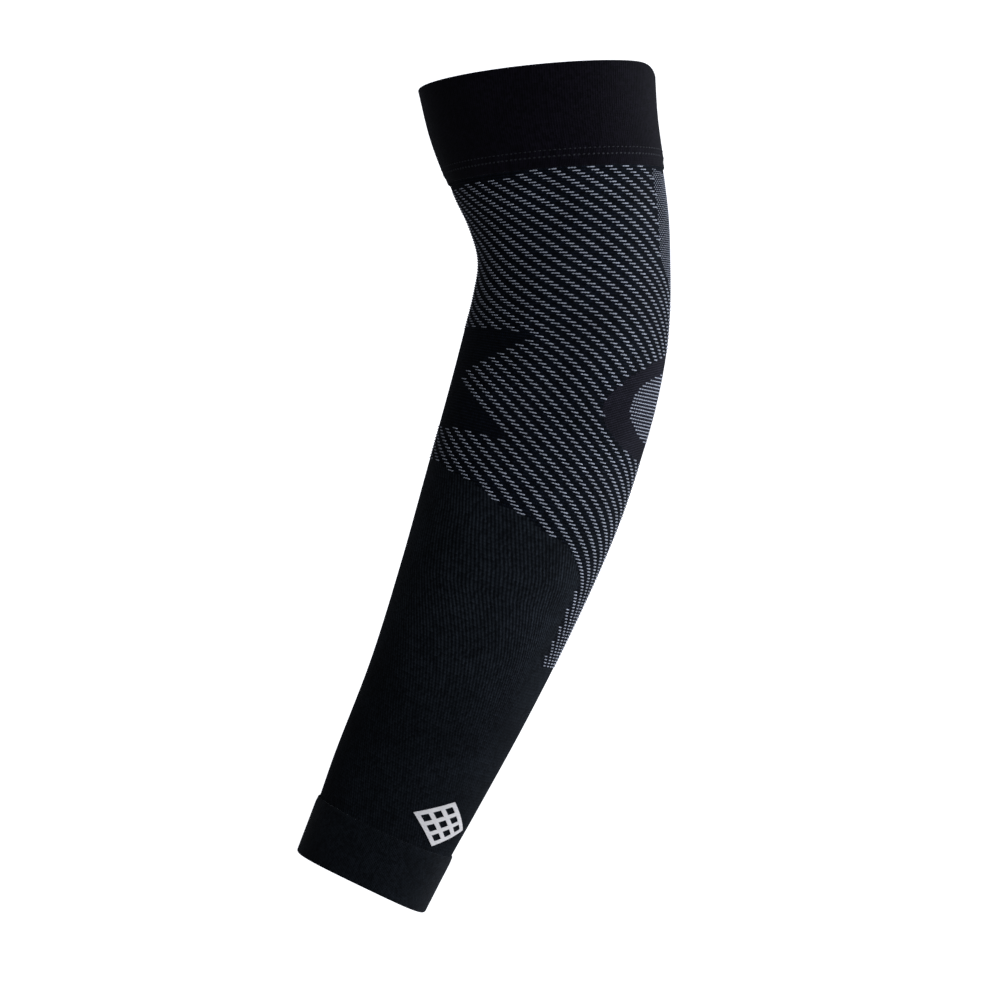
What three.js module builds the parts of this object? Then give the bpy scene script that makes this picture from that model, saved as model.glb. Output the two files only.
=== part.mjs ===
// Arm compression sleeve: a seamless knitted tube worn from the upper arm, over the elbow, to the
// wrist. It has a wide turned band at the top and a narrower turned band at the wrist.
// Millimetres, +Z up. The origin is the centre of the upper opening. +X points to the back of the
// arm, where the elbow is, and the forearm leans towards -X. The sleeve is the same on both sides
// of the plane y = 0, apart from the print.
import * as THREE from "three";

// The arm that fills the sleeve, measured on the inner face of the cloth.
const sleeveHeight = 361.5;
const forearmReach = 79;
const upperWidth = 103;
const upperDepth = 88;
const wristWidth = 59.8;
const wristDepth = 49;
const upperTilt = -5.6;
const wristTilt = 25.8;

// The cloth.
const knitWall = 1.1;
const bandSkin = 0.7;
const clearance = 0.3;

// The two turned bands. Each laps over the end of the knitted tube.
const upperBandHeight = 45.5;
const upperBandLap = 8;
const wristBandHeight = 27.5;
const wristBandLap = 4;

// The upper rim dips a little at the back of the arm, and the wrist rim rises a little at its two
// sides.
const upperRimDip = 4.5;
const upperRimDipAngle = 16;
const wristRimRise = 1.5;

// The heat-transfer print on the outer face above the wrist band: a net of slanted bars.
const printWidth = 30;
const printHeight = 22;
const printFilm = 0.2;
const printAngle = 48;
const printAboveBand = 2.7;
const printOpenings = 3;
const printBarShare = 0.11;

// How finely the curved faces are divided.
const sidesAround = 40;
const stationStep = 11;
const rimSides = 4;
const printStepsPerBar = 2;

const bandWall = knitWall + clearance + bandSkin;

// Sections of the arm, from the upper opening to the wrist opening. Down is a share of
// sleeveHeight and forward a share of forearmReach. The tilt, the width and the depth each go
// from 0, their value at the upper opening, to 1, their value at the wrist opening.
const sections = [
  { down: 0.0, forward: 0.0, tilt: 0.0, width: 0.0, depth: 0.0 },
  { down: 0.065, forward: -0.046, tilt: 0.01, width: 0.1, depth: 0.06 },
  { down: 0.139, forward: -0.133, tilt: 0.06, width: 0.24, depth: 0.15 },
  { down: 0.182, forward: -0.186, tilt: 0.12, width: 0.35, depth: 0.2 },
  { down: 0.228, forward: -0.215, tilt: 0.19, width: 0.43, depth: 0.22 },
  { down: 0.276, forward: -0.202, tilt: 0.27, width: 0.38, depth: 0.21 },
  { down: 0.326, forward: -0.168, tilt: 0.4, width: 0.32, depth: 0.18 },
  { down: 0.375, forward: -0.12, tilt: 0.51, width: 0.3, depth: 0.16 },
  { down: 0.425, forward: -0.059, tilt: 0.59, width: 0.305, depth: 0.15 },
  { down: 0.525, forward: 0.081, tilt: 0.67, width: 0.355, depth: 0.2 },
  { down: 0.637, forward: 0.267, tilt: 0.78, width: 0.505, depth: 0.36 },
  { down: 0.762, forward: 0.501, tilt: 0.9, width: 0.695, depth: 0.6 },
  { down: 0.88, forward: 0.753, tilt: 0.955, width: 0.845, depth: 0.82 },
  { down: 0.933, forward: 0.863, tilt: 0.97, width: 0.93, depth: 0.92 },
  { down: 1.0, forward: 1.0, tilt: 1.0, width: 1.0, depth: 1.0 },
];

// Each section in millimetres and degrees, with its distance along the arm's middle line.
function measureSections() {
  const measured = [];
  let along = 0;
  for (const row of sections) {
    const x = -row.forward * forearmReach;
    const z = -row.down * sleeveHeight;
    const previous = measured[measured.length - 1];
    if (previous) along += Math.hypot(x - previous.x, z - previous.z);
    measured.push({
      along,
      x,
      z,
      tilt: upperTilt + (wristTilt - upperTilt) * row.tilt,
      halfWidth: (upperWidth + (wristWidth - upperWidth) * row.width) / 2,
      halfDepth: (upperDepth + (wristDepth - upperDepth) * row.depth) / 2,
    });
  }
  return measured;
}

const measuredSections = measureSections();
const sleeveLength = measuredSections[measuredSections.length - 1].along;

// How fast a column changes at a row, taken across its two neighbours.
function slopeAt(rowNumber, column) {
  const before = measuredSections[Math.max(rowNumber - 1, 0)];
  const after = measuredSections[Math.min(rowNumber + 1, measuredSections.length - 1)];
  return (after[column] - before[column]) / (after.along - before.along);
}

// The section at any distance along the arm: a smooth cubic through each column of the rows.
function sectionAt(along) {
  let rowNumber = 0;
  while (rowNumber < measuredSections.length - 2 && measuredSections[rowNumber + 1].along < along) {
    rowNumber += 1;
  }
  const low = measuredSections[rowNumber];
  const high = measuredSections[rowNumber + 1];
  const span = high.along - low.along;
  const t = (along - low.along) / span;
  const section = {};
  for (const column of ["x", "z", "tilt", "halfWidth", "halfDepth"]) {
    const startSlope = slopeAt(rowNumber, column) * span;
    const endSlope = slopeAt(rowNumber + 1, column) * span;
    section[column] =
      low[column] * (2 * t ** 3 - 3 * t ** 2 + 1) +
      startSlope * (t ** 3 - 2 * t ** 2 + t) +
      high[column] * (3 * t ** 2 - 2 * t ** 3) +
      endSlope * (t ** 3 - t ** 2);
  }
  return section;
}

// How far a point of a band lies down the arm from a straight course. The dip of the upper rim
// and the rise of the wrist rim fade out across their bands.
function rimShift(along, degrees) {
  const fromBack = degrees > 180 ? degrees - 360 : degrees;
  const upperFade = Math.max(1 - along / upperBandHeight, 0) ** 2;
  const wristFade = Math.max(1 - (sleeveLength - along) / wristBandHeight, 0) ** 2;
  const dip = upperRimDip * upperFade * Math.exp(-((fromBack / upperRimDipAngle) ** 2));
  const rise = wristRimRise * wristFade * Math.sin(THREE.MathUtils.degToRad(degrees)) ** 2;
  return dip - rise;
}

// A point of the cloth: its distance along the arm, its angle around it from the back by way of
// the outer side at -Y, and its height above the inner face.
function clothPoint(along, degrees, outward) {
  const section = sectionAt(along + rimShift(along, degrees));
  const angle = THREE.MathUtils.degToRad(degrees);
  const normal = new THREE.Vector2(
    Math.cos(angle) / section.halfWidth,
    Math.sin(angle) / section.halfDepth,
  ).normalize();
  const back = section.halfWidth * Math.cos(angle) + outward * normal.x;
  const side = section.halfDepth * Math.sin(angle) + outward * normal.y;
  const tilt = THREE.MathUtils.degToRad(section.tilt);
  return new THREE.Vector3(
    section.x + back * Math.cos(tilt),
    -side,
    section.z - back * Math.sin(tilt),
  );
}

// Evenly spaced distances from one to another, no further apart than stationStep.
function stationsBetween(start, end) {
  const steps = Math.ceil(Math.abs(end - start) / stationStep);
  return Array.from({ length: steps + 1 }, (_, step) => start + ((end - start) * step) / steps);
}

// A closed geometry from vertices and triangles.
function closedGeometry(points, triangles) {
  const geometry = new THREE.BufferGeometry();
  const positions = points.flatMap((point) => point.toArray());
  geometry.setAttribute("position", new THREE.Float32BufferAttribute(positions, 3));
  geometry.setIndex(triangles);
  geometry.computeVertexNormals();
  return geometry;
}

// A hoop of cloth: a closed profile of [along, outward] points carried once around the arm. The
// profile goes down the outer face and up the inner one.
function hoopGeometry(profile) {
  const points = [];
  for (let side = 0; side < sidesAround; side += 1) {
    const degrees = (360 * side) / sidesAround;
    for (const [along, outward] of profile) points.push(clothPoint(along, degrees, outward));
  }
  const triangles = [];
  const count = profile.length;
  for (let side = 0; side < sidesAround; side += 1) {
    const here = side * count;
    const next = ((side + 1) % sidesAround) * count;
    for (let step = 0; step < count; step += 1) {
      const further = (step + 1) % count;
      triangles.push(here + step, next + step, here + further);
      triangles.push(next + step, next + further, here + further);
    }
  }
  return closedGeometry(points, triangles);
}

// The profile of a turned band, listed from its rim: over the rounded rim, along the outer face,
// round the free edge of the outer layer, into the lap that holds the tube's end, and back along
// the inner face. Direction is 1 where the band hangs below its rim and -1 where it stands above.
function bandProfile(rim, height, lap, direction) {
  const radius = bandWall / 2;
  const profile = [];
  for (let step = 1; step < rimSides; step += 1) {
    const turn = (Math.PI * step) / rimSides - Math.PI / 2;
    profile.push([radius - radius * Math.cos(turn), radius + radius * Math.sin(turn)]);
  }
  for (const along of stationsBetween(radius, height)) profile.push([along, bandWall]);
  for (const along of stationsBetween(height, height - lap)) profile.push([along, bandWall - bandSkin]);
  for (const along of stationsBetween(height - lap, radius)) profile.push([along, 0]);
  const placed = profile.map(([along, outward]) => [rim + direction * along, outward]);
  return direction > 0 ? placed : placed.reverse();
}

// The profile of the knitted tube, whose ends are tucked under the two bands.
function tubeProfile() {
  const top = upperBandHeight - upperBandLap + clearance;
  const bottom = sleeveLength - wristBandHeight + wristBandLap - clearance;
  const outer = stationsBetween(top, bottom).map((along) => [along, knitWall]);
  const inner = stationsBetween(bottom, top).map((along) => [along, 0]);
  return [...outer, ...inner];
}

// The lines of the print's grid in one direction, from -1/2 to 1/2, each with whether the stretch
// after it is a bar. Bars and openings take turns, and each is divided into equal steps.
function printGridLines() {
  const openingShare = (1 - (printOpenings + 1) * printBarShare) / printOpenings;
  const lines = [];
  let place = -0.5;
  for (let stretch = 0; stretch < 2 * printOpenings + 1; stretch += 1) {
    const isBar = stretch % 2 === 0;
    const width = isBar ? printBarShare : openingShare;
    for (let step = 0; step < printStepsPerBar; step += 1) {
      lines.push({ place: place + (width * step) / printStepsPerBar, isBar });
    }
    place += width;
  }
  lines.push({ place, isBar: false });
  return lines;
}

// The print: a lozenge-shaped net of thin film, laid just off the outer face of the tube. A cell
// of its slanted grid is film where either direction has a bar, and open elsewhere.
function printGeometry() {
  const lines = printGridLines();
  const cells = lines.length - 1;
  const middle = sleeveLength - wristBandHeight - printAboveBand - printHeight / 2;
  const section = sectionAt(middle);
  const facing = THREE.MathUtils.degToRad(printAngle);
  const bendRadius = Math.hypot(
    section.halfWidth * Math.sin(facing),
    section.halfDepth * Math.cos(facing),
  );
  const points = [];
  const pointNumbers = new Map();
  const pointNumber = (row, column, layer) => {
    const key = `${row},${column},${layer}`;
    if (!pointNumbers.has(key)) {
      const around = ((lines[row].place - lines[column].place) * printWidth) / 2;
      const along = middle + ((lines[row].place + lines[column].place) * printHeight) / 2;
      const degrees = printAngle + THREE.MathUtils.radToDeg(around / bendRadius);
      pointNumbers.set(key, points.length);
      points.push(clothPoint(along, degrees, knitWall + clearance + layer * printFilm));
    }
    return pointNumbers.get(key);
  };
  const isFilm = (row, column) =>
    row >= 0 && column >= 0 && row < cells && column < cells && (lines[row].isBar || lines[column].isBar);
  const triangles = [];
  const addQuad = (a, b, c, d) => triangles.push(a, c, b, a, d, c);
  for (let row = 0; row < cells; row += 1) {
    for (let column = 0; column < cells; column += 1) {
      if (!isFilm(row, column)) continue;
      const corners = [[row, column], [row, column + 1], [row + 1, column + 1], [row + 1, column]];
      const beyond = [[row - 1, column], [row, column + 1], [row + 1, column], [row, column - 1]];
      const [low, high] = [0, 1].map((layer) => corners.map(([r, c]) => pointNumber(r, c, layer)));
      addQuad(...high);
      addQuad(...low.toReversed());
      for (let edge = 0; edge < corners.length; edge += 1) {
        const after = (edge + 1) % corners.length;
        if (!isFilm(...beyond[edge])) addQuad(high[after], high[edge], low[edge], low[after]);
      }
    }
  }
  return closedGeometry(points, triangles);
}

// The four pieces.
function makePiece(name, geometry, colour, roughness, metalness) {
  const material = new THREE.MeshStandardMaterial({ color: colour, roughness, metalness });
  const piece = new THREE.Mesh(geometry, material);
  piece.name = name;
  return piece;
}

const upperBandProfile = bandProfile(0, upperBandHeight, upperBandLap, 1);
const wristBandProfile = bandProfile(sleeveLength, wristBandHeight, wristBandLap, -1);

const sleeve = new THREE.Group();
sleeve.add(makePiece("upper_band", hoopGeometry(upperBandProfile), 0x0b0a0f, 0.85, 0));
sleeve.add(makePiece("sleeve_body", hoopGeometry(tubeProfile()), 0x14151a, 0.9, 0));
sleeve.add(makePiece("wrist_band", hoopGeometry(wristBandProfile), 0x0a0c10, 0.88, 0));
sleeve.add(makePiece("wrist_print", printGeometry(), 0xc2c3c5, 0.45, 0.1));

export default sleeve;
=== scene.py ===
# %% [markdown]
# # Arm compression sleeve
# This object is a seamless knitted tube worn over the upper arm, the elbow and the forearm.
# Seen from outside it has a wide turned band at the top, a field of light grey dashes, plain black zones
# and a narrower turned band at the wrist.
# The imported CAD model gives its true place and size. Everything below rebuilds the cloth in finer mesh code,
# in the same frame, so each piece lies where its solid lies.

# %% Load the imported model
import math
import bpy
import numpy as np
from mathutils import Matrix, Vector


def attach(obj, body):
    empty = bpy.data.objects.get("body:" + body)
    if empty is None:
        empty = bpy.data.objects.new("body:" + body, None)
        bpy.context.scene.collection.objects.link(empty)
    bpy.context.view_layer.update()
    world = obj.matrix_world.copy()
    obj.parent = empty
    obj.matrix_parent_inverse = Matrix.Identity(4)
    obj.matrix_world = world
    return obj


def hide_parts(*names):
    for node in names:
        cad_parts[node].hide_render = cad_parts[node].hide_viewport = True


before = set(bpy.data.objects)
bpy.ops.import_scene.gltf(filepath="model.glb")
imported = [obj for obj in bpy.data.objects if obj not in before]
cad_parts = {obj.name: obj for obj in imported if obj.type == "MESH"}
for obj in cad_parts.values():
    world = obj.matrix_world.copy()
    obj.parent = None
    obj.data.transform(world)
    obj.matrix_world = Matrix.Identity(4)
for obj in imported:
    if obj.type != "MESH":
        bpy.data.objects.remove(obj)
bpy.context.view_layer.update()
print("CAD nodes:", sorted(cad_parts))

# %% [markdown]
# ## The sizes that drive everything
# A circular knitting machine makes a tube with a fixed number of stitch columns, called wales.
# The rows run round the tube and are called courses. Both are counted here first, because the pattern
# is knitted: every dash starts and ends on a stitch. Lengths are in millimetres, and one factor turns
# them to metres.

# %% Sizes of the sleeve
MM = 0.001
sleeve_height = 361.5
forearm_reach = 79
upper_width = 103
upper_depth = 88
wrist_width = 59.8
wrist_depth = 49
upper_tilt = -5.6
wrist_tilt = 25.8
knit_wall = 1.1
band_skin = 0.7
clearance = 0.3
band_wall = knit_wall + clearance + band_skin
upper_band_height = 45.5
upper_band_lap = 8
wrist_band_height = 27.5
wrist_band_lap = 4
upper_rim_dip = 4.5
upper_rim_dip_angle = 16
wrist_rim_rise = 1.5
print("a band's wall is %.1f mm thick" % band_wall)

# %% Sizes of the knit
wales_around = 272
wales_per_repeat = 8
row_pitch = 1.36
repeats_around = wales_around // wales_per_repeat
degrees_per_wale = 360 / wales_around
print("stitch columns:", wales_around, "in", repeats_around, "repeats of the dash")

# %% [markdown]
# ## The line of the arm
# A limb could be sculpted by hand, but it is easier to build and to change as sections carried along a bent
# middle line. Each row of the table is one section. The numbers are shares of the driving sizes, so the table
# reads as a shape and not as coordinates. Between the rows a cubic curve keeps the cloth smooth.

# %% Sections from the upper rim to the wrist
section_columns = ("down", "forward", "tilt", "width", "depth")
sections = [
    (0.0, 0.0, 0.0, 0.0, 0.0),
    (0.065, -0.046, 0.01, 0.1, 0.06),
    (0.139, -0.133, 0.06, 0.24, 0.15),
    (0.182, -0.186, 0.12, 0.35, 0.2),
    (0.228, -0.215, 0.19, 0.43, 0.22),
    (0.276, -0.202, 0.27, 0.38, 0.21),
    (0.326, -0.168, 0.4, 0.32, 0.18),
    (0.375, -0.12, 0.51, 0.3, 0.16),
    (0.425, -0.059, 0.59, 0.305, 0.15),
    (0.525, 0.081, 0.67, 0.355, 0.2),
    (0.637, 0.267, 0.78, 0.505, 0.36),
    (0.762, 0.501, 0.9, 0.695, 0.6),
    (0.88, 0.753, 0.955, 0.845, 0.82),
    (0.933, 0.863, 0.97, 0.93, 0.92),
    (1.0, 1.0, 1.0, 1.0, 1.0),
]
shares = dict(zip(section_columns, np.array(sections).T))
middle_x = -shares["forward"] * forearm_reach
middle_z = -shares["down"] * sleeve_height
tilt = upper_tilt + (wrist_tilt - upper_tilt) * shares["tilt"]
half_width = (upper_width + (wrist_width - upper_width) * shares["width"]) / 2
half_depth = (upper_depth + (wrist_depth - upper_depth) * shares["depth"]) / 2
section_table = np.stack([middle_x, middle_z, tilt, half_width, half_depth], axis=1)
section_along = np.concatenate([[0], np.cumsum(np.hypot(np.diff(middle_x), np.diff(middle_z)))])
sleeve_length = section_along[-1]
print("length along the middle line: %.1f mm" % sleeve_length)

# %% Slope of the curve at each section
before = np.maximum(np.arange(len(sections)) - 1, 0)
after = np.minimum(np.arange(len(sections)) + 1, len(sections) - 1)
slope_span = (section_along[after] - section_along[before])[:, None]
section_slope = (section_table[after] - section_table[before]) / slope_span
print("the tilt changes by up to %.2f degrees in a millimetre" % section_slope[:, 2].max())

# %% [markdown]
# ## From a stitch to a point in space
# Everything on the sleeve is placed by three numbers: how far it is along the arm, its angle round the arm,
# and how far it stands out from the inner face. Angle 0 is the back of the arm, 90 faces the camera
# and 180 is the inner side of the elbow. One function turns the three numbers to a point, so a stitch, a seam
# and a print are all laid on the same cloth.

# %% A point on the cloth
def section_at(along):
    """The section at a distance along the arm: middle x and z, tilt, half width and half depth."""
    row = np.clip(np.searchsorted(section_along, along, side="right") - 1, 0, len(sections) - 2)
    span = section_along[row + 1] - section_along[row]
    t = ((along - section_along[row]) / span)[..., None]
    start_slope = section_slope[row] * span[..., None]
    end_slope = section_slope[row + 1] * span[..., None]
    start, end = section_table[row], section_table[row + 1]
    return (
        start * (2 * t**3 - 3 * t**2 + 1)
        + start_slope * (t**3 - 2 * t**2 + t)
        + end * (3 * t**2 - 2 * t**3)
        + end_slope * (t**3 - t**2)
    )


def from_back(angle):
    """The angle from the line down the back of the arm, from -180 to 180."""
    return (angle + 180) % 360 - 180


def rim_shift(along, angle):
    """The upper rim dips at the back of the arm, and the wrist rim rises at its two sides."""
    upper = np.maximum(1 - along / upper_band_height, 0) ** 2
    wrist = np.maximum(1 - (sleeve_length - along) / wrist_band_height, 0) ** 2
    dip = upper_rim_dip * upper * np.exp(-((from_back(angle) / upper_rim_dip_angle) ** 2))
    return dip - wrist_rim_rise * wrist * np.sin(np.radians(angle)) ** 2


def cloth_point(along, angle, outward):
    """Points in metres, from arrays of distance along, angle in degrees and distance outward."""
    along, angle, outward = np.broadcast_arrays(*(np.asarray(v, float) for v in (along, angle, outward)))
    x, z, lean, wide, deep = np.moveaxis(section_at(along + rim_shift(along, angle)), -1, 0)
    turn = np.radians(angle)
    across_x, across_y = np.cos(turn) / wide, np.sin(turn) / deep
    size = np.hypot(across_x, across_y)
    back = wide * np.cos(turn) + outward * across_x / size
    side = deep * np.sin(turn) + outward * across_y / size
    lean = np.radians(lean)
    return np.stack([x + back * np.cos(lean), -side, z - back * np.sin(lean)], axis=-1) * MM


print("inner face at the top of the back, in metres:", cloth_point(0, 0, 0).round(4))

# %% [markdown]
# ## How the knit lies on the arm
# A sleeve is pulled on by hand, so its stitch columns don't run straight down the arm. They turn a little
# one way above the elbow and back again below it, they lie closer together behind the elbow than in front
# of it, and the rows sag away from the middle of each side. The knit could be drawn even, but then its slanting
# bands would be straight. The table says how far each moves, at a few distances along the arm. Turn is in
# degrees and drop in millimetres. Gather and pinch are shares: below nought, gather draws the columns together
# towards the back of the arm, and pinch towards its back and front at once.

# %% Stitch columns and rows on the arm
drape_columns = ("along", "turn", "gather", "pinch", "drop")
drape = [
    (0, -30, 0.1, 0, 0),
    (38, -27, 0.1, 0, 0.2),
    (43, -24.5, 0.1, 0.01, 2.7),
    (46, -23, 0.1, 0.01, 2.7),
    (66, -13, 0.05, -0.02, 2.4),
    (86, 0, -0.06, -0.06, 1.9),
    (108, 5.5, -0.15, -0.08, 1.3),
    (130, 3.5, -0.16, -0.01, 0.9),
    (150, 3.5, -0.16, 0.04, 1.2),
    (170, -1, -0.13, 0, 1.7),
    (190, -4.5, -0.09, -0.02, 1.9),
    (208, -1, -0.08, -0.06, 2.0),
    (226, 10.9, -0.2, -0.12, 2.0),
    (238, 17, -0.21, -0.12, 2.0),
    (250, 20.2, -0.23, -0.12, 2.0),
    (262, 23.5, -0.25, -0.12, 2.0),
    (300, 27, -0.1, -0.05, 1.4),
    (353, 27, 0, 0, 0),
]
drape_at = dict(zip(drape_columns, np.array(drape).T))
row_sag = 1.3
row_sag_angle = 75
row_sag_ease = 8
row_samples = 2000


def drape_value(name, along):
    """One column of the drape table at a distance along the arm."""
    return np.interp(along, drape_at["along"], drape_at[name])


def stitch_at(wale, row):
    """Distance along the arm and angle of a stitch, from its column number and its row number."""
    even = np.radians(np.asarray(wale, float) * degrees_per_wale)
    level = np.asarray(row, float) * row_pitch
    level = level + drape_value("drop", level)
    gathered = drape_value("gather", level) * np.sin(even) + drape_value("pinch", level) * np.sin(2 * even)
    angle = np.degrees(even + gathered) + drape_value("turn", level)
    from_bands = np.minimum(level - upper_band_height, sleeve_length - wrist_band_height - level)
    eased = np.clip(from_bands / row_sag_ease, 0, 1)
    sag = row_sag * eased * (np.cos(np.radians(angle - row_sag_angle)) - 1)
    return level + sag, angle


def row_of(along):
    """The row number whose stitches lie at a distance along the arm, away from the sag."""
    rows = np.linspace(0, sleeve_length / row_pitch, row_samples)
    return np.interp(along, rows * row_pitch + drape_value("drop", rows * row_pitch), rows)


print("rows from rim to rim: %.0f" % row_of(sleeve_length))

# %% [markdown]
# ## Turning arrays to meshes
# A knitted tube is a closed skin: an outer wall, a turned edge, an inner wall and another turned edge.
# It could be a thin surface thickened by a modifier. Here it is one profile carried round the arm and joined
# to itself, because then each wall can have faces of its own size. Each corner also gets a stitch coordinate:
# u counts stitch columns and v counts rows. The materials draw their knit from those two numbers.

# %% Mesh helpers
def make_piece(name, points, faces, stitch_uv, materials, face_material=None, smooth=True):
    """A mesh object from points in metres, faces and one (u, v) for each face corner."""
    mesh = bpy.data.meshes.new(name)
    mesh.from_pydata(points.reshape(-1, 3).tolist(), [], [list(face) for face in faces])
    layer = mesh.uv_layers.new(name="stitch")
    layer.data.foreach_set("uv", stitch_uv.astype(np.float32).ravel())
    for material in materials:
        mesh.materials.append(material)
    if face_material is not None:
        mesh.polygons.foreach_set("material_index", face_material.astype(np.int32).ravel())
    mesh.polygons.foreach_set("use_smooth", np.full(len(faces), smooth))
    mesh.validate()
    mesh.update()
    piece = bpy.data.objects.new(name, mesh)
    bpy.context.scene.collection.objects.link(piece)
    triangles = sum(len(polygon.vertices) - 2 for polygon in mesh.polygons)
    print(name, "has", triangles, "triangles")
    return piece


def carry_round(name, profile_row, profile_outward, materials, zone=None, relief=None):
    """A closed profile carried round the arm, one column of faces to each stitch column."""
    wales = np.arange(wales_around)
    rows = np.array(profile_row, float)
    along, angle = stitch_at(wales[None, :], rows[:, None])
    outward = np.repeat(np.array(profile_outward, float)[:, None], wales_around, axis=1)
    if relief is not None:
        outward = outward + relief(along, outward)
    points = cloth_point(along, angle, outward)
    i, j = np.meshgrid(np.arange(len(rows)), wales, indexing="ij")
    next_i, next_j = (i + 1) % len(rows), (j + 1) % wales_around
    corners = [(i, j), (i, next_j), (next_i, next_j), (next_i, j)]
    faces = np.stack([a * wales_around + b for a, b in corners], axis=-1).reshape(-1, 4)
    u = np.stack([j, j + 1, j + 1, j], axis=-1)
    v = np.stack([rows[i], rows[i], rows[next_i], rows[next_i]], axis=-1)
    stitch_uv = np.stack([u, v], axis=-1).reshape(-1, 2)
    face_material = None
    if zone is not None:
        middle_along, middle_angle = stitch_at(j + 0.5, (rows[i] + rows[next_i]) / 2)
        face_material = zone(middle_along, middle_angle, outward[i, j])
    return make_piece(name, points, faces, stitch_uv, materials, face_material)


print("columns of faces round each tube:", wales_around)

# %% [markdown]
# ## Colours and nodes
# A colour is written as the sRGB hex value that a picture editor would show. Blender computes light in linear
# values, so one function converts it. One more function adds a node with its settings and its links,
# which keeps every material below short.

# %% Colour helper
def linear(hex_colour):
    """Linear red, green, blue and alpha from an sRGB hex string, by the curve of the sRGB standard."""
    channels = [int(hex_colour[k:k + 2], 16) / 255 for k in (0, 2, 4)]
    return [c / 12.92 if c <= 0.04045 else ((c + 0.055) / 1.055) ** 2.4 for c in channels] + [1.0]


print("half grey in linear light: %.3f" % linear("808080")[0])

# %% Node helpers
def new_material(name, **shader_inputs):
    """A material and its own shader, with constant values set on the shader's sockets."""
    material = bpy.data.materials.new(name)
    material.use_nodes = True
    shader = material.node_tree.nodes["Principled BSDF"]
    for socket, value in shader_inputs.items():
        shader.inputs[socket.replace("_", " ")].default_value = value
    return material, shader


def add_node(material, kind, inputs=(), **settings):
    """Adds a node. Inputs come in order, or by name in a dict. Each is a value, another node's output,
    or another node, which stands for its first output."""
    node = material.node_tree.nodes.new("ShaderNode" + kind)
    for name, value in settings.items():
        setattr(node, name, value)
    by_socket = inputs if isinstance(inputs, dict) else dict(enumerate(inputs))
    for socket, value in by_socket.items():
        source = value.outputs[0] if isinstance(value, bpy.types.Node) else value
        if isinstance(source, bpy.types.NodeSocket):
            material.node_tree.links.new(source, node.inputs[socket])
        else:
            node.inputs[socket].default_value = source
    return node


print("materials before the first cloth:", len(bpy.data.materials))

# %% [markdown]
# ## The knitted surface as maths
# A plain knit stitch looks like a small V. Its height can be written with two waves: one runs along the
# column and is pushed later towards the column's edges, which bends each row to a V, and one dips between
# the columns. A picture of a knit would blur close up, and waves stay sharp and follow the columns. The real
# stitch is about 1 mm wide and 0.7 mm high, which is too fine for the picture, so a row is drawn 1.36 mm
# high, as far apart as the rows of dashes.

# %% The stitch pattern
stitch_bend = 0.35
column_groove = 0.55


def wave(material, cycles):
    """A wave from 0 to 1 with its top at each whole number of cycles."""
    turn = add_node(material, "Math", (cycles, 2 * math.pi), operation="MULTIPLY")
    cosine = add_node(material, "Math", (turn,), operation="COSINE")
    return add_node(material, "Math", (cosine, 0.5, 0.5), operation="MULTIPLY_ADD")


def stitch_place(material):
    """The stitch column and row of the point being drawn."""
    stitch_map = add_node(material, "UVMap", uv_map="stitch")
    split = add_node(material, "SeparateXYZ", (stitch_map,))
    return split.outputs["X"], split.outputs["Y"]


def stitch_height(material, column, row, rows_per_cycle=1.0, bend=stitch_bend):
    """The V stitch: 1 on top of the yarn and 0 between the stitches."""
    side = add_node(material, "Math", (column, 0.5), operation="PINGPONG")
    course = add_node(material, "Math", (row, rows_per_cycle), operation="DIVIDE")
    later = add_node(material, "Math", (side, 2 * bend, course), operation="MULTIPLY_ADD")
    between = wave(material, column)
    column_height = add_node(material, "Math", (between, -column_groove, 1.0), operation="MULTIPLY_ADD")
    return add_node(material, "Math", (wave(material, later), column_height), operation="MULTIPLY")


print("a stitch is drawn %.2f mm high" % row_pitch)

# %% [markdown]
# ## Uneven shade
# Real cloth is never one flat black. Fibres and dye give it soft patches, and no two stitches take the light
# alike. A noise in the object's own space gives the patches, and one random number for each stitch gives the
# grain, so both stay fixed to the cloth. A patch is about 17 mm across on the tube and 22 mm on the bands.

# %% Patches and stitches of their own shade
# In millimetres: 60 patches to a metre of the tube and 45 to a metre of the bands
mottle_size = 1000 / 60
band_mottle_size = 1000 / 45
mottle_detail = 3.0
mottle_range = (0.3, 0.7)


def cloth_mottle(material, patch_size, low, high):
    """A soft change of shade over the cloth, from low to high, with patches of a size in mm."""
    place = add_node(material, "TexCoord").outputs["Object"]
    noise_inputs = {"Vector": place, "Scale": 1 / (patch_size * MM), "Detail": mottle_detail}
    noise = add_node(material, "TexNoise", noise_inputs)
    return add_node(material, "MapRange", (noise, *mottle_range, low, high))


def stitch_shade(material, column, row, low, high):
    """Each stitch takes the light a little differently, so each gets its own shade."""
    whole_column = add_node(material, "Math", (column,), operation="FLOOR")
    whole_row = add_node(material, "Math", (row,), operation="FLOOR")
    stitch = add_node(material, "CombineXYZ", (whole_column, whole_row))
    speck = add_node(material, "TexWhiteNoise", {"Vector": stitch}, noise_dimensions="2D")
    return add_node(material, "MapRange", (speck.outputs["Value"], 0.0, 1.0, low, high))


def uneven_shade(material, column, row, patch_size, patches, stitches):
    """Patches times stitches. Each is the lowest and the highest share of the light."""
    mottle = cloth_mottle(material, patch_size, *patches)
    grain = stitch_shade(material, column, row, *stitches)
    return add_node(material, "Math", (mottle, grain), operation="MULTIPLY")


print("patches of shade: %.0f mm on the tube, %.0f mm on the bands" % (mottle_size, band_mottle_size))

# %% [markdown]
# ## Dressing a material
# Every finish here is a height between two tones. The low part of the yarn lies in shadow and takes the
# darker tone, the top of the yarn takes the lighter one, and the same height drives the bump, so colour and
# relief always agree. In Blender's colour mix the two colours are inputs 6 and 7, and the mixed colour is
# output 2.

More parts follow.
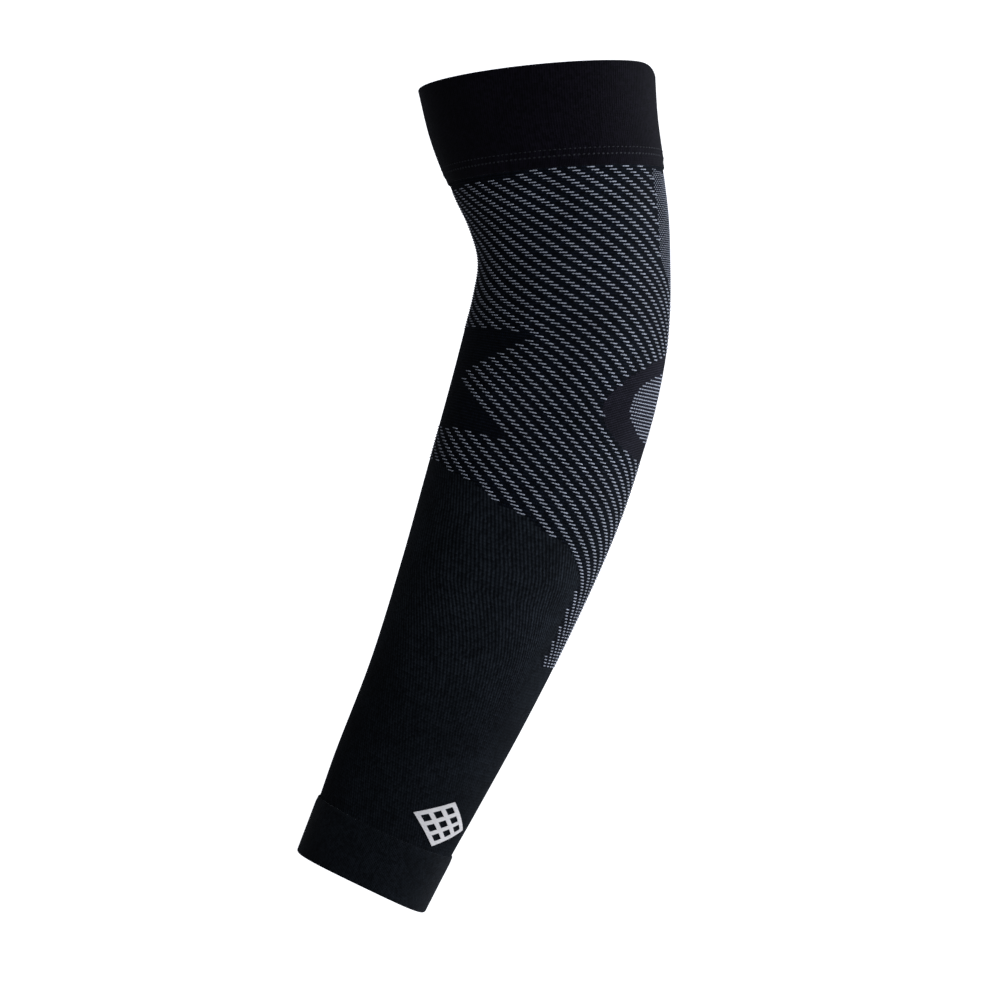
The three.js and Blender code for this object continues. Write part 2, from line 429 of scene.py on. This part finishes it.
# %% Colour and bump from one height
def dress(material, shader, height, amount, dark, light, relief_mm, shade):
    """Links a height to the colour between two tones and to the bump, and a shade to the colour."""
    share = add_node(material, "Math", (height, amount), operation="MULTIPLY")
    mix = add_node(material, "Mix", {0: share, 6: linear(dark), 7: linear(light)}, data_type="RGBA")
    tone = add_node(material, "VectorMath", {0: mix.outputs[2], "Scale": shade}, operation="SCALE")
    relief = {"Height": height, "Distance": relief_mm * MM, "Strength": 1.0}
    bump = add_node(material, "Bump", relief)
    material.node_tree.links.new(tone.outputs[0], shader.inputs["Base Color"])
    material.node_tree.links.new(bump.outputs[0], shader.inputs["Normal"])
    print(material.name, "runs from", dark, "to", light)
    return material


cloth_look = dict(Roughness=0.8, Specular_IOR_Level=0.04, Sheen_Weight=0.02, Sheen_Roughness=0.4)
print("shader values of the black cloth:", cloth_look)

# %% [markdown]
# ## Black nylon jersey
# The plain forearm is a black nylon and elastane jersey, knitted with small tucks less than two columns
# apart. The tucks step sideways from row to row, which draws faint steep streaks, so a wave across columns
# and rows at once gives them. Textured nylon filament is dull and dark to the eye. Low on the forearm the
# tucks fade.

# %% Jersey for the forearm
tucks_per_column = 0.625
tucks_per_row = 0.45
tuck_course_dip = 0.25
tuck_share = 0.8
tuck_fade_along = (250, 300)
tuck_left = 0.4
fade_rows = [distance / row_pitch for distance in tuck_fade_along]
black_jersey, shader = new_material("black_nylon_jersey", **cloth_look)
column, row = stitch_place(black_jersey)
across = add_node(black_jersey, "Math", (column, tucks_per_column), operation="MULTIPLY")
slant = add_node(black_jersey, "Math", (row, tucks_per_row, across), operation="MULTIPLY_ADD")
fade = add_node(black_jersey, "MapRange", (row, *fade_rows, 1.0, tuck_left))
dips = (wave(black_jersey, row), tuck_course_dip, 1 - tuck_course_dip)
course = add_node(black_jersey, "Math", dips, operation="MULTIPLY_ADD")
tuck = add_node(black_jersey, "Math", (wave(black_jersey, slant), course), operation="MULTIPLY")
tuck = add_node(black_jersey, "Math", (tuck, fade), operation="MULTIPLY")
stitches = stitch_height(black_jersey, column, row)
fine = add_node(black_jersey, "Math", (stitches, 1 - tuck_share), operation="MULTIPLY")
height = add_node(black_jersey, "Math", (tuck, tuck_share, fine), operation="MULTIPLY_ADD")
shade = uneven_shade(black_jersey, column, row, mottle_size, (0.75, 1.25), (0.55, 1.45))
dress(black_jersey, shader, height, 1.0, "06080b", "202428", 0.2, shade)

# %% [markdown]
# ## Ground of the dash field
# Between the dashes the black yarn lies lower than the grey, because the grey float passes over it.
# It is the same yarn as the jersey, given darker tones as painted shade, because it lies deeper.
# The same darker ground shows bare inside the elbow, where it paints the shade of the inner bend,
# and just below the upper band.

# %% Ground between the dashes
shaded_dash_ground, shader = new_material("black_nylon_ground_painted_shade", **cloth_look)
column, row = stitch_place(shaded_dash_ground)
height = stitch_height(shaded_dash_ground, column, row)
shade = uneven_shade(shaded_dash_ground, column, row, mottle_size, (0.8, 1.2), (0.5, 1.5))
# The ground's darker tones are painted shade, where the yarn lies deep between the floats and inside the elbow.
dress(shaded_dash_ground, shader, height, 1.0, "020406", "12161e", 0.25, shade)

# %% [markdown]
# ## Elbow patch
# Over the point of the elbow the machine knits a plain dense jersey with a visible line in every course, so
# that the cloth there is smooth and stretches evenly. Its lines are half as far apart as the rows of dashes,
# and its stitches are bent so little that the eye sees lines and not Vs.

# %% Dense jersey behind the elbow
line_pitch_rows = 0.5
line_bend = 0.1
elbow_jersey, shader = new_material("dense_black_nylon_jersey", **cloth_look)
column, row = stitch_place(elbow_jersey)
height = stitch_height(elbow_jersey, column, row, line_pitch_rows, line_bend)
shade = uneven_shade(elbow_jersey, column, row, mottle_size, (0.8, 1.2), (0.8, 1.2))
dress(elbow_jersey, shader, height, 1.0, "010102", "2f2d36", 0.3, shade)

# %% [markdown]
# ## Rib knit of the bands
# The two bands are turned back on themselves and sewn down. Their yarn is the same black nylon over elastane,
# in a close rib whose fine upright lines are one stitch column apart. The wrist band's tones are lighter, which
# is painted light, for the light that falls more on the wrist. One function makes both, with tones of their
# own.

# %% Rib knit
rib_share = 0.6
rib_pitch_rows = 0.5
rib_bend = 0.2


def rib_knit(name, dark, light, sheen):
    """A close rib with one upright line to each stitch column."""
    rib_cloth, shader = new_material(name, **{**cloth_look, "Sheen_Weight": sheen})
    column, row = stitch_place(rib_cloth)
    stitches = stitch_height(rib_cloth, column, row, rib_pitch_rows, rib_bend)
    fine = add_node(rib_cloth, "Math", (stitches, 1 - rib_share), operation="MULTIPLY")
    lines = wave(rib_cloth, column)
    height = add_node(rib_cloth, "Math", (lines, rib_share, fine), operation="MULTIPLY_ADD")
    shade = uneven_shade(rib_cloth, column, row, band_mottle_size, (0.8, 1.2), (0.55, 1.45))
    return dress(rib_cloth, shader, height, 1.0, dark, light, 0.15, shade)


upper_rib = rib_knit("black_nylon_rib", "040306", "0f0c13", 0.065)
# The wrist band's lighter tones are painted light.
lit_wrist_rib = rib_knit("black_nylon_rib_painted_light", "010304", "191c20", 0.07)

# %% [markdown]
# ## Sewing thread
# The turned band is closed with a thicker black polyester thread. It stands proud of the rib, it is smoother
# than the knit and catches the light, so its stitches show as two rows of dim dots. A wave along the stitch
# stands for the twist of its plies.

# %% Black thread
thread_turns_per_column = 2.0
seam_thread, shader = new_material("black_polyester_thread", Roughness=0.6, Specular_IOR_Level=0.2,
                                   Sheen_Weight=0.05, Sheen_Roughness=0.5)
column, row = stitch_place(seam_thread)
turns = add_node(seam_thread, "Math", (column, thread_turns_per_column, row), operation="MULTIPLY_ADD")
shade = stitch_shade(seam_thread, column, row, 0.6, 1.4)
dress(seam_thread, shader, wave(seam_thread, turns), 1.0, "0a0a0e", "1c1c22", 0.08, shade)

# %% [markdown]
# ## Light grey yarn
# The dashes are a light grey textured nylon. It is bulkier than the black and stands a little proud,
# and its fibres scatter the light evenly, so it has almost no gloss. Its twist is drawn as a slanting wave.

# %% Grey yarn
yarn_turns_per_column = 3.0
yarn_turns_per_row = 2.0
grey_yarn, shader = new_material("light_grey_textured_nylon", Roughness=0.85, Specular_IOR_Level=0.25,
                                 Sheen_Weight=0.1, Sheen_Roughness=0.4)
column, row = stitch_place(grey_yarn)
across = add_node(grey_yarn, "Math", (row, yarn_turns_per_row), operation="MULTIPLY")
turns = add_node(grey_yarn, "Math", (column, yarn_turns_per_column, across), operation="MULTIPLY_ADD")
shade = uneven_shade(grey_yarn, column, row, mottle_size, (0.85, 1.1), (0.75, 1.15))
dress(grey_yarn, shader, wave(grey_yarn, turns), 1.0, "8c909a", "c8cbd3", 0.08, shade)

# %% [markdown]
# ## Silver transfer film
# The net above the wrist is a thin silver grey film, pressed on with heat. Aluminium flakes in a clear binder
# give it a weak metallic shine, and it follows the knit under it, so it is faintly rippled.

# %% Silver film
# In millimetres: 300 patches to a metre
film_mottle_size = 1000 / 300
film_ripple = 0.5
silver_film, shader = new_material("silver_heat_transfer_film", Metallic=0.15, Roughness=0.5,
                                   Specular_IOR_Level=0.4)
column, row = stitch_place(silver_film)
height = stitch_height(silver_film, column, row)
shade = cloth_mottle(silver_film, film_mottle_size, 0.94, 1.06)
dress(silver_film, shader, height, film_ripple, "dcd6cf", "eae4dc", 0.05, shade)
print("materials made:", len(bpy.data.materials))

# %% [markdown]
# ## Where each zone of the knit lies
# The machine changes the stitch by place. The zones could be painted on a picture, but a rule in angle and
# distance along the arm keeps their edges on whole stitches. Each zone is the same on both sides of the arm,
# so one half is enough. The zone on the inner side of the elbow is waisted like an hourglass, the patch
# behind the elbow is a rounded lozenge, and the dash field ends low at the back of the arm in a narrow tail.

# %% Sizes of the zones
field_start_angle = [0, 15, 30, 40, 105, 120]
field_start = upper_band_height + np.array([3, 2.4, 1, -0.1, -0.1, 3])
patch_along = 146
patch_half_angle = 61.5
patch_reach = {"up": 26, "down": 20.5}
patch_roundness = {"up": 1.6, "down": 2.0}
crook_top = 120.7
crook_corner = 125
crook_bottom = 170.7
crook_waist_along = 148
crook_waist_angle = 22.5
crook_corner_angle = 68
crook_spread = {"up": 1.74, "down": 2.45}
tail_end = 261
tail_half_angle = 33
field_edge_angle = [35, 42, 49, 55, 64, 75, 84, 94, 102, 110, 123, 137, 145, 161, 180]
field_edge_along = [220, 215.5, 211, 208.5, 206.5, 204.5, 201.5, 199.5, 199, 196, 192.5, 191, 189, 187, 187]
strip_half_angle = 30
strip_taper_start = 84
strip_taper_end = 104
print("the dash field runs from %.0f to %.0f mm along the arm" % (field_start.min(), tail_end))

# %% Zones
def in_patch(along, angle):
    """The rounded lozenge behind the elbow."""
    upper = along < patch_along
    reach = np.where(upper, patch_reach["up"], patch_reach["down"])
    roundness = np.where(upper, patch_roundness["up"], patch_roundness["down"])
    around = np.abs(from_back(angle)) / patch_half_angle
    return around**roundness + (np.abs(along - patch_along) / reach) ** roundness < 1


def in_crook(along, angle):
    """The waisted zone on the inner side of the elbow."""
    around = 180 - np.abs(from_back(angle))
    spread = np.where(along < crook_waist_along, crook_spread["up"], crook_spread["down"])
    edge = crook_waist_angle + spread * np.abs(along - crook_waist_along)
    edge = np.where(along < crook_corner, crook_corner_angle, edge)
    return (along > crook_top) & (along < crook_bottom) & (around < edge)


def below_band(along, angle):
    """Below the line where the grey yarn starts, which lies lower behind the arm and in front of it."""
    return along > np.interp(np.abs(from_back(angle)), field_start_angle, field_start)


def in_strip(along, angle):
    """The close pattern up the back of the upper arm, which ends in a point above the elbow."""
    taper = np.clip((strip_taper_end - along) / (strip_taper_end - strip_taper_start), 0, 1)
    return below_band(along, angle) & (np.abs(from_back(angle)) < strip_half_angle * taper)


def in_field(along, angle):
    """The dash field, down to its curved lower edge and its tail."""
    around = np.abs(from_back(angle))
    edge = np.where(around < tail_half_angle, tail_end, np.interp(around, field_edge_angle, field_edge_along))
    open_field = below_band(along, angle) & (along < edge)
    return open_field & ~in_patch(along, angle) & ~in_crook(along, angle) & ~in_strip(along, angle)


def tube_zone(along, angle, outward):
    """0 for jersey, 1 for the ground of the dashes, whose darker tones are painted shade, 2 for the patch."""
    ground = in_field(along, angle) | in_strip(along, angle) | in_crook(along, angle)
    ground |= along < np.max(field_start)
    outside = outward > knit_wall / 2
    return np.where(outside & in_patch(along, angle), 2, np.where(outside & ground, 1, 0))


print("zone at the point of the elbow:", tube_zone(patch_along, 0, knit_wall))

# %% [markdown]
# ## The knitted tube
# The tube could be one smooth surface with a picture of a knit on it. Here each face of its outer wall is
# one stitch column wide and one row high, so the zones change along real stitch steps. The inner wall is
# seen only through the openings, and it has longer faces.

# %% Build the tube
inner_face_rows = 5
tube_top = upper_band_height - upper_band_lap + clearance
tube_bottom = sleeve_length - wrist_band_height + wrist_band_lap - clearance
top_row = tube_top / row_pitch
bottom_row = tube_bottom / row_pitch
between = np.arange(math.ceil(top_row), math.floor(bottom_row)) + 0.5
outer_row = np.concatenate([[top_row], between, [bottom_row]])
inner_row = np.linspace(bottom_row, top_row, len(outer_row) // inner_face_rows)
tube_row = np.concatenate([outer_row, inner_row])
tube_outward = np.concatenate([np.full(len(outer_row), knit_wall), np.zeros(len(inner_row))])
tube_cloth = [black_jersey, shaded_dash_ground, elbow_jersey]
knitted_tube = carry_round("knitted_tube", tube_row, tube_outward, tube_cloth, tube_zone)
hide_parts("sleeve_body")
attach(knitted_tube, "root")

# %% [markdown]
# ## Yarn floats
# A float is a length of yarn that passes over a few stitches before it is knitted in again. Each one is a
# small swollen bar: it narrows where it is caught down and swells between. Thousands of them are needed.
# Objects or instances would be slow and would not export as one piece, so they are made as arrays and joined
# to one mesh.

# %% The faces of one float
float_sides = 5
float_grip = 0.25
float_tip_sunk = 0.05


def float_faces(stations):
    """The quads and triangles of one float: a row of half rings and two tips."""
    ring = np.arange(float_sides)
    beside = (ring + 1) % float_sides
    start = np.arange(stations - 1)[:, None] * float_sides
    end = start + float_sides
    quads = np.stack([start + ring, start + beside, end + beside, end + ring], axis=-1)
    last = (stations - 1) * float_sides
    first_tip = stations * float_sides
    caps = [[first_tip, b, a] for a, b in zip(ring, beside)]
    caps += [[first_tip + 1, last + a, last + b] for a, b in zip(ring, beside)]
    return quads.reshape(-1, 4), np.array(caps)


ring_quads, tip_caps = float_faces(8)
print("triangles in a float of eight rings:", 2 * len(ring_quads) + len(tip_caps))

# %% A joined mesh of floats
def yarn_floats(name, row, wale, length, width, height, swell, material, base):
    """Floats centred on (wale, row). Length is in stitch columns, and width, height and base are in mm.
    Swell is the outline: a share of the width and height at each step along the float."""
    row, wale = (np.asarray(v, float)[:, None, None] for v in (row, wale))
    count, stations = len(row), len(swell)
    swell = np.array(swell, float)[None, :, None]
    t = ((np.arange(stations) + 1) / (stations + 1) - 0.5)[None, :, None]
    grip = np.linspace(-float_grip, math.pi + float_grip, float_sides)[None, None, :]
    ring_wale, ring_row, ring_out = np.broadcast_arrays(
        wale - t * length,
        row + width / 2 * swell * np.cos(grip) / row_pitch,
        base + height * swell * np.sin(grip),
    )
    tip_wale = wale[:, :, 0] + length * np.array([[0.5, -0.5]])
    tip_row = np.repeat(row[:, :, 0], 2, axis=1)
    tip_out = np.full((count, 2), base - float_tip_sunk)
    corner_wale = np.concatenate([ring_wale.reshape(count, -1), tip_wale], axis=1)
    corner_row = np.concatenate([ring_row.reshape(count, -1), tip_row], axis=1)
    corner_out = np.concatenate([ring_out.reshape(count, -1), tip_out], axis=1)
    along, angle = stitch_at(corner_wale, corner_row)
    points = cloth_point(along, angle, corner_out).reshape(-1, 3)
    quads, caps = float_faces(stations)
    start = (np.arange(count) * corner_wale.shape[1])[:, None, None]
    quads, caps = (quads + start).reshape(-1, 4), (caps + start).reshape(-1, 3)
    order = np.concatenate([quads.ravel(), caps.ravel()])
    stitch_uv = np.stack([corner_wale.ravel()[order], corner_row.ravel()[order]], axis=1)
    piece = make_piece(name, points, quads.tolist() + caps.tolist(), stitch_uv, [material])
    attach(piece, "root")
    print(name, "holds", count, "floats")
    return piece


# %% [markdown]
# ## The dash field
# Each row repeats every eight stitch columns: the float covers nearly four of them, and the next row starts
# two columns further round. That step is what draws the slanting bands, so no slanting line is drawn
# anywhere. Each dash shows a short bead and a longer one, because the float is caught down once on its way.
# The field is two meshes, parted above the elbow, so that neither holds too many triangles.

# %% Places of the dashes
dash_start = 4
dash_step = wales_per_repeat // 4
field_parted_along = patch_along - 15
first_row = int(upper_band_height / row_pitch) - 1
last_row = int(tail_end / row_pitch)
field_rows = np.arange(first_row, last_row)
row_number, repeat_number = np.meshgrid(field_rows, np.arange(repeats_around), indexing="ij")
dash_row = row_number.ravel()
dash_wale = (repeat_number * wales_per_repeat + dash_start - row_number * dash_step).ravel() % wales_around
dash_along, dash_angle = stitch_at(dash_wale, dash_row)
in_dashes = in_field(dash_along, dash_angle)
above = in_dashes & (dash_along < field_parted_along)
print("dashes in the field:", in_dashes.sum())

# %% Knit the dashes
dash_columns = 3.8
dash_width = 0.7
dash_height = 0.4
dash_swell = [0.6, 0.9, 0.3, 0.75, 1.0, 0.6, 1.0, 0.75]
for name, kept in (("dashes_above_elbow", above), ("dashes_below_elbow", in_dashes & ~above)):
    yarn_floats(name, dash_row[kept], dash_wale[kept], dash_columns, dash_width, dash_height, dash_swell,
                grey_yarn, knit_wall)

# %% [markdown]
# ## The strip over the back of the upper arm
# A close, low pattern runs up the back of the upper arm and fades to a point. Every other stitch is grey,
# and its rows lie closer than the rows of dashes, three to two, so from a distance it reads as one soft grey.
# It could be a flat grey zone of the tube, but real floats keep its edge as ragged as knitting is.

# %% Knit the strip
strip_rows_per_row = 1.5
strip_float_columns = 1.2
strip_float_width = 0.47
strip_float_height = 0.2
strip_swell = [0.9, 0.9]
strip_lines = np.arange(strip_rows_per_row * first_row, strip_rows_per_row * strip_taper_end / row_pitch)
line_number, wale_number = np.meshgrid(strip_lines, np.arange(wales_around // 2), indexing="ij")
strip_row = line_number.ravel() / strip_rows_per_row
strip_wale = (2 * wale_number + line_number % 2).ravel()
kept = in_strip(*stitch_at(strip_wale, strip_row))
yarn_floats("back_strip_stitches", strip_row[kept], strip_wale[kept], strip_float_columns, strip_float_width,
            strip_float_height, strip_swell, grey_yarn, knit_wall)

# %% [markdown]
# ## Stripes on the elbow patch
# A plain oval of stripes lies over the point of the elbow. It is knitted in the same grey yarn, with one line
# of short floats to each row, so the same function makes it.

# %% Knit the stripes
oval_along = 143.5
oval_half_angle = 43
oval_half_height = 15
stripe_float_columns = 2.1
stripe_float_width = 0.6
stripe_float_height = 0.2
stripe_swell = [0.85, 1.0, 0.85]
oval_first_row = math.ceil((oval_along - oval_half_height) / row_pitch)
oval_rows = np.arange(oval_first_row, (oval_along + oval_half_height) / row_pitch)
row_number, wale_number = np.meshgrid(oval_rows, np.arange(0, wales_around, 2), indexing="ij")
stripe_row, stripe_wale = row_number.ravel(), wale_number.ravel()
stripe_along, stripe_angle = stitch_at(stripe_wale, stripe_row)
around_share = from_back(stripe_angle) / oval_half_angle
along_share = (stripe_along - oval_along) / oval_half_height
kept = around_share**2 + along_share**2 < 1
yarn_floats("elbow_stripes", stripe_row[kept], stripe_wale[kept], stripe_float_columns, stripe_float_width,
            stripe_float_height, stripe_swell, grey_yarn, knit_wall)

# %% [markdown]
# ## The upper band
# The band is one cloth turned back on itself at the rim and sewn down at its lower edge, so the rim is a soft
# fold and not a cut edge. Its lower end laps over the tube. Two rows of linking stitches show near that edge,
# with a shallow crease below them. One closed profile holds the fold, the lap and the step over the tube,
# so the band needs no boolean and no modifier.

# %% The profile of a turned band
fold_steps = 8
fold_angles = np.linspace(0, math.pi, fold_steps + 1)
outer_steps_per_row = 1.5
inner_steps = 12
edge_bevel = 0.25
edge_drop = 0.2


def band_profile(rim, free_edge, lap, direction):
    """A turned band's closed profile: outer wall, free edge, step over the tube, inner wall, folded rim."""
    outer_steps = int(abs(free_edge - rim) / row_pitch * outer_steps_per_row)
    fold_end = rim + direction * band_wall / 2
    outer = np.linspace(fold_end, free_edge - direction * edge_bevel, outer_steps)
    edge = [free_edge, free_edge]
    step = free_edge - direction * lap
    inner = np.linspace(step, fold_end, inner_steps)
    fold = rim + direction * band_wall / 2 * (1 - np.sin(fold_angles))[1:-1]
    fold_out = band_wall / 2 * (1 - np.cos(fold_angles))[1:-1]
    outer_out = np.full(outer_steps, band_wall)
    edge_out = [band_wall - edge_drop, band_wall - band_skin]
    step_out = [band_wall - band_skin]
    along = np.concatenate([outer, edge, [step], inner, fold])
    outward = np.concatenate([outer_out, edge_out, step_out, np.zeros(inner_steps), fold_out])
    return along, outward


print("steps round the folded rim:", fold_steps)

# %% The relief of the bands
seam_levels = [upper_band_height - 7.6, upper_band_height - 4.8]
seam_sunk = 0.12
seam_sunk_length = 0.7
crease_level = upper_band_height - 2.6
crease_depth = 0.35
crease_length = 0.9
edge_thinning = 0.35
edge_thinning_length = 2
outer_wall_from = band_wall - 0.3
outer_face_from = band_wall - 0.05


def near(along, level, length):
    """1 at a level and falling off over a length to either side."""
    return np.exp(-(((along - level) / length) ** 2))


def thinned_edge(along, outward, free_edge):
    """The cloth is stretched thin towards its sewn edge, so the edge hardly stands out."""
    thinning = edge_thinning * near(along, free_edge, edge_thinning_length)
    return np.where(outward > outer_wall_from, -thinning, 0)


def upper_band_relief(along, outward):
    """The thin edge, the crease above it and the two sunk rows of the seam."""
    crease = crease_depth * near(along, crease_level, crease_length)
    seam = sum(seam_sunk * near(along, level, seam_sunk_length) for level in seam_levels)
    sunk_rows = np.where(outward > outer_face_from, crease + seam, 0)
    return thinned_edge(along, outward, upper_band_height) - sunk_rows


def wrist_band_relief(along, outward):
    """Only the edge is thin."""
    return thinned_edge(along, outward, sleeve_length - wrist_band_height)


print("seam rows lie at", seam_levels, "mm along the arm")

# %% Build the upper band
along, outward = band_profile(0, upper_band_height, upper_band_lap, 1)
upper_cuff = carry_round("upper_cuff", row_of(along), outward, [upper_rib], relief=upper_band_relief)
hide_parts("upper_band")
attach(upper_cuff, "root")

# %% Sew the seam
seam_float_columns = 1.4
seam_float_width = 0.6
seam_float_height = 0.25
seam_swell = [0.8, 1.0, 0.8]
seam_base = band_wall - 0.1
seam_wale = np.tile(np.arange(0, wales_around, 2), len(seam_levels))
seam_row = np.repeat(row_of(np.array(seam_levels)), wales_around // 2)
yarn_floats("upper_seam_stitches", seam_row, seam_wale, seam_float_columns, seam_float_width,
            seam_float_height, seam_swell, seam_thread, seam_base)

# %% [markdown]
# ## The wrist band
# The wrist band is made the same way, but it is narrower and it laps over the tube's other end. So the same
# profile is used, turned round: its rim is at the wrist and its free edge lies higher up.

# %% Build the wrist band
along, outward = band_profile(sleeve_length, sleeve_length - wrist_band_height, wrist_band_lap, -1)
wrist_cuff = carry_round("wrist_cuff", row_of(along), outward, [lit_wrist_rib], relief=wrist_band_relief)
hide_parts("wrist_band")
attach(wrist_cuff, "root")

# %% [markdown]
# ## The silver film
# Above the wrist band lies a plain net of slanting bars. It could be a picture of a net on the tube, but a
# real film has a thickness and an edge that catches light. So it is a thin mesh, laid on the cloth in the
# two slanting directions of the net, and its bars bend with the arm.

# %% The bars of the net
print_width = 30
print_height = 22
print_film = 0.2
print_angle = 48
print_above_band = 2.7
print_openings = 3
print_bar_share = 0.11
print_steps = 6
print_middle = sleeve_length - wrist_band_height - print_above_band - print_height / 2


def net_marks():
    """Shares from 0 to 1 where bars and openings start and end, each split to short steps."""
    opening = (1 - (print_openings + 1) * print_bar_share) / print_openings
    marks = [0.0]
    is_bar = []
    for number in range(2 * print_openings + 1):
        bar = number % 2 == 0
        length = print_bar_share if bar else opening
        marks += [marks[-1] + length * (k + 1) / print_steps for k in range(print_steps)]
        is_bar += [bar] * print_steps
    return np.array(marks), np.array(is_bar)


marks, is_bar = net_marks()
film_cells = is_bar[:, None] | is_bar[None, :]
print("film covers %.0f percent of the net" % (100 * film_cells.mean()))

# %% The faces of the net
def net_faces(filled):
    """Top and under faces of the filled cells, and a face at each open side.
    The corners under the film are numbered after those on top."""
    side = len(filled) + 1
    low = side * side
    is_filled = np.pad(filled, 1)
    faces = []
    for i, j in np.argwhere(filled):
        p, q = i * side + j, (i + 1) * side + j
        r, s = q + 1, p + 1
        faces.append([p, s, r, q])
        faces.append([p + low, q + low, r + low, s + low])
        sides = ((i, j - 1, p, q), (i + 1, j, q, r), (i, j + 1, r, s), (i - 1, j, s, p))
        for beside_i, beside_j, start, end in sides:
            if not is_filled[beside_i + 1, beside_j + 1]:
                faces.append([start, end, end + low, start + low])
    return np.array(faces)


film_faces = net_faces(film_cells)
print("faces of the film:", len(film_faces))

# %% Lay the film on the cloth
first, second = np.meshgrid(marks, marks, indexing="ij")
net_along = print_middle + (first + second - 1) * print_height / 2
section = section_at(np.array(print_middle))
mean_radius = 0.5 * (section[3] + section[4]) + knit_wall
degrees_per_mm = 180 / math.pi / mean_radius
net_angle = print_angle + (first - second) * print_width / 2 * degrees_per_mm
top = cloth_point(net_along, net_angle, knit_wall + clearance + print_film)
under = cloth_point(net_along, net_angle, knit_wall + clearance)
points = np.concatenate([top.reshape(-1, 3), under.reshape(-1, 3)])
net_u = np.tile((net_angle / degrees_per_wale).ravel(), 2)
net_v = np.tile(row_of(net_along).ravel(), 2)
net_uv = np.stack([net_u[film_faces], net_v[film_faces]], axis=-1)
silver_net = make_piece("silver_net", points, film_faces, net_uv, [silver_film], smooth=False)
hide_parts("wrist_print")
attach(silver_net, "root")

# %% [markdown]
# ## Cloth sizes
# A compression sleeve is knitted about an eighth narrower than the arm it goes on.


# %% [markdown]
# ## Camera
# The photograph was taken square on to the side of the arm from a little over a metre, with a long lens.
# The lens could be tried by eye. Here it follows from the camera's distance and from the picture's width,
# which is 450 mm at the sleeve.

# %% Camera
camera_distance = 1.37
picture_width = 0.45
picture_middle = (-0.0163, -0.1898)
sensor_width = 36
camera_data = bpy.data.cameras.new("studio_camera")
camera_data.sensor_width = sensor_width
camera_data.lens = sensor_width * camera_distance / picture_width
camera_data.clip_end = 50
camera = bpy.data.objects.new("studio_camera", camera_data)
camera.location = (picture_middle[0], -camera_distance, picture_middle[1])
camera.rotation_euler = (math.radians(90), 0, 0)
bpy.context.scene.collection.objects.link(camera)
bpy.context.scene.camera = camera
print("the lens is %.0f mm long" % camera_data.lens)

# %% [markdown]
# ## Floor and light
# The object stands before a plain white sweep: a floor that curves up to a wall, so that no edge shows.
# The photograph falls from grey on the right to nearly black on the left, and the right edge shines.
# So a large soft lamp stands to the right and a little behind and lights the edge, a second one in front
# and to the right shapes the cloth, and a weak even light fills the rest. All three are a little cool,
# as the photograph's greys are. The paper itself glows, so that it stays white where the lamps don't reach,
# and its glow is kept off the cloth.

# %% Floor
studio_white, shader = new_material("matt_white_paper", Roughness=1.0, Specular_IOR_Level=0.0)
shader.inputs["Base Color"].default_value = linear("f4f4f4")
shader.inputs["Emission Color"].default_value = linear("ffffff")
shader.inputs["Emission Strength"].default_value = 0.9
floor_level = -0.45
sweep_reach = 4.0
sweep_start = 1.2
sweep_radius = 0.8
bend = np.linspace(0, math.pi / 2, 17)
bend_y = sweep_start + sweep_radius * np.sin(bend)
bend_z = floor_level + sweep_radius * (1 - np.cos(bend))
sweep_y = np.concatenate([[-sweep_reach], bend_y, [sweep_start + sweep_radius]])
sweep_z = np.concatenate([[floor_level], bend_z, [sweep_reach]])
left = np.stack([np.full_like(sweep_y, -sweep_reach), sweep_y, sweep_z], axis=1)
right = left * [-1, 1, 1]
count = len(sweep_y)
sweep_faces = np.array([[i, i + 1, count + i + 1, count + i] for i in range(count - 1)])
sweep_uv = np.zeros((4 * len(sweep_faces), 2))
sweep = make_piece("paper_sweep", np.concatenate([left, right]), sweep_faces, sweep_uv, [studio_white])
sweep.visible_diffuse = False
sweep.visible_glossy = False

# %% Light
studio_light = linear("e9f0ff")
world_strength = 0.21
lamp_size = 1.0
lamp_aim = (0.0, 0.0, -0.19)
lamp_columns = ("name", "place", "power")
lamps = [
    ("key_lamp", (1.45, 0.3, -0.1), 27),
    ("front_lamp", (1.0, -1.25, -0.35), 31),
]


def soft_lamp(name, place, power):
    """A square lamp that faces the middle of the sleeve."""
    data = bpy.data.lights.new(name, "AREA")
    data.shape = "SQUARE"
    data.size = lamp_size
    data.energy = power
    data.color = studio_light[:3]
    lamp = bpy.data.objects.new(name, data)
    lamp.location = place
    lamp.rotation_euler = (Vector(lamp_aim) - Vector(place)).to_track_quat("-Z", "Y").to_euler()
    bpy.context.scene.collection.objects.link(lamp)


for lamp_row in lamps:
    soft_lamp(**dict(zip(lamp_columns, lamp_row)))
world = bpy.data.worlds.new("studio_room")
world.use_nodes = True
world.node_tree.nodes["Background"].inputs["Color"].default_value = studio_light
world.node_tree.nodes["Background"].inputs["Strength"].default_value = world_strength
bpy.context.scene.world = world
bpy.context.scene.view_settings.view_transform = "Standard"
print("lamps:", len(lamps))
